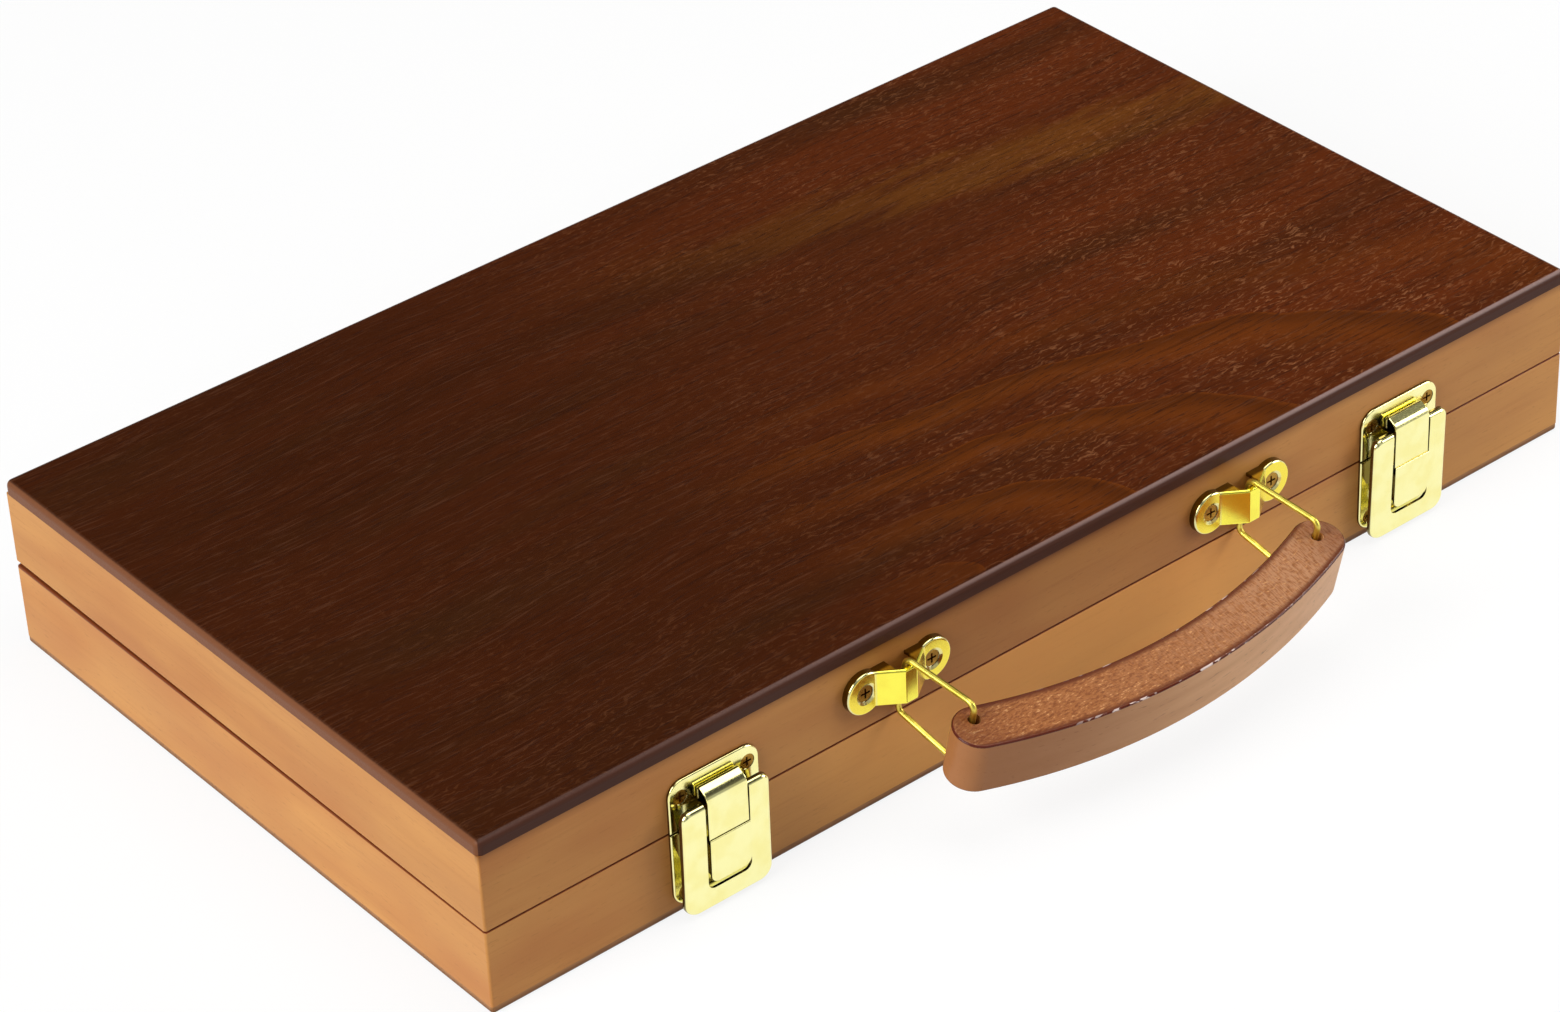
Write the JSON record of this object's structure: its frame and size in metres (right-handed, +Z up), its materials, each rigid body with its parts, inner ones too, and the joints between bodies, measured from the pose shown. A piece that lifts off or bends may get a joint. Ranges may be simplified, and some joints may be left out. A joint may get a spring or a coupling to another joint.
{
  "type": "wooden tile game case",
  "caption": "Flat stained-wood carrying case for a tile game: two hinged halves, draw latches, swinging curved grip and divided felt-lined inside.",
  "frame": {"origin": "centre of the case's underside, on the surface it rests on", "axes": "+X to the right along the front, +Y to the back, +Z up"},
  "size_m": [0.36, 0.2488, 0.051],
  "materials": {
    "walnut_stained_wood": "satin lacquer",
    "honey_stained_wood": "satin lacquer",
    "grip_wood": "lacquered",
    "felt": "flocked",
    "polished_brass": "polished plating",
    "yellow_zinc": "bright plating",
    "brass_wire": "bright plating",
    "brass_plated_screws": "plated"
  },
  "bodies": {
    "base": {"base_panel": "walnut_stained_wood", "base_front_rail": "honey_stained_wood", "base_back_rail": "honey_stained_wood", "base_left_rail": "honey_stained_wood", "base_right_rail": "honey_stained_wood", "base_liner": "felt", "rack_divider": "honey_stained_wood", "tile_dividers": "honey_stained_wood", "left_hinge_base_leaf": "polished_brass", "right_hinge_base_leaf": "polished_brass", "left_hinge_pin": "brass_plated_screws", "right_hinge_pin": "brass_plated_screws", "hinge_base_screws": "brass_plated_screws", "left_latch_plate": "polished_brass", "right_latch_plate": "polished_brass", "latch_plate_screws": "brass_plated_screws", "left_lever_pin": "brass_plated_screws", "right_lever_pin": "brass_plated_screws"},
    "lid": {"lid_panel": "walnut_stained_wood", "lid_front_rail": "honey_stained_wood", "lid_back_rail": "honey_stained_wood", "lid_left_rail": "honey_stained_wood", "lid_right_rail": "honey_stained_wood", "lid_liner": "felt", "left_hinge_lid_leaf": "polished_brass", "right_hinge_lid_leaf": "polished_brass", "hinge_lid_screws": "brass_plated_screws", "left_keeper": "polished_brass", "right_keeper": "polished_brass", "keeper_screws": "brass_plated_screws", "left_bracket": "yellow_zinc", "right_bracket": "yellow_zinc", "bracket_screws": "brass_plated_screws"},
    "left_lever": {"left_lever": "polished_brass", "left_claw_pin": "brass_plated_screws"},
    "left_claw": {"left_claw": "polished_brass"},
    "right_lever": {"right_lever": "polished_brass", "right_claw_pin": "brass_plated_screws"},
    "right_claw": {"right_claw": "polished_brass"},
    "left_loop": {"left_loop": "brass_wire"},
    "right_loop": {"right_loop": "brass_wire"},
    "grip": {"grip": "grip_wood"}
  },
  "joints": [
    {"name": "lid_hinge", "type": "hinge", "parent": "base", "child": "lid", "pos_m": [0, 0.1023, 0.02515], "axis": [-1, 0, 0], "range_deg": [0, 175]},
    {"name": "left_lever_swing", "type": "hinge", "parent": "base", "child": "left_lever", "pos_m": [-0.1123, -0.1039, 0.0302], "axis": [-1, 0, 0], "range_deg": [0, 90]},
    {"name": "left_claw_swing", "type": "hinge", "parent": "left_lever", "child": "left_claw", "pos_m": [-0.1123, -0.10373, 0.0205], "axis": [-1, 0, 0], "range_deg": [-66, 0]},
    {"name": "right_lever_swing", "type": "hinge", "parent": "base", "child": "right_lever", "pos_m": [0.1173, -0.1039, 0.0302], "axis": [-1, 0, 0], "range_deg": [0, 90]},
    {"name": "right_claw_swing", "type": "hinge", "parent": "right_lever", "child": "right_claw", "pos_m": [0.1173, -0.10373, 0.0205], "axis": [-1, 0, 0], "range_deg": [-66, 0]},
    {"name": "left_loop_swing", "type": "hinge", "parent": "lid", "child": "left_loop", "pos_m": [-0.05525, -0.1031, 0.0347], "axis": [0, -0.2164, 0.9763], "range_deg": [-65, 54]},
    {"name": "right_loop_swing", "type": "hinge", "parent": "lid", "child": "right_loop", "pos_m": [0.05945, -0.1031, 0.0333], "axis": [0, -0.2164, 0.9763], "range_deg": [-65, 54]},
    {"name": "grip_swing", "type": "hinge", "parent": "left_loop", "child": "grip", "pos_m": [-0.05311, -0.12516, 0.02981], "axis": [0, -0.2164, 0.9763], "range_deg": [-54, 65]}
  ],
  "couplings": [
    {"joint": "left_claw_swing", "follows": "left_lever_swing", "ratio": -0.6667},
    {"joint": "right_claw_swing", "follows": "right_lever_swing", "ratio": -0.6667},
    {"joint": "right_loop_swing", "follows": "left_loop_swing", "ratio": 1},
    {"joint": "grip_swing", "follows": "left_loop_swing", "ratio": -1}
  ]
}
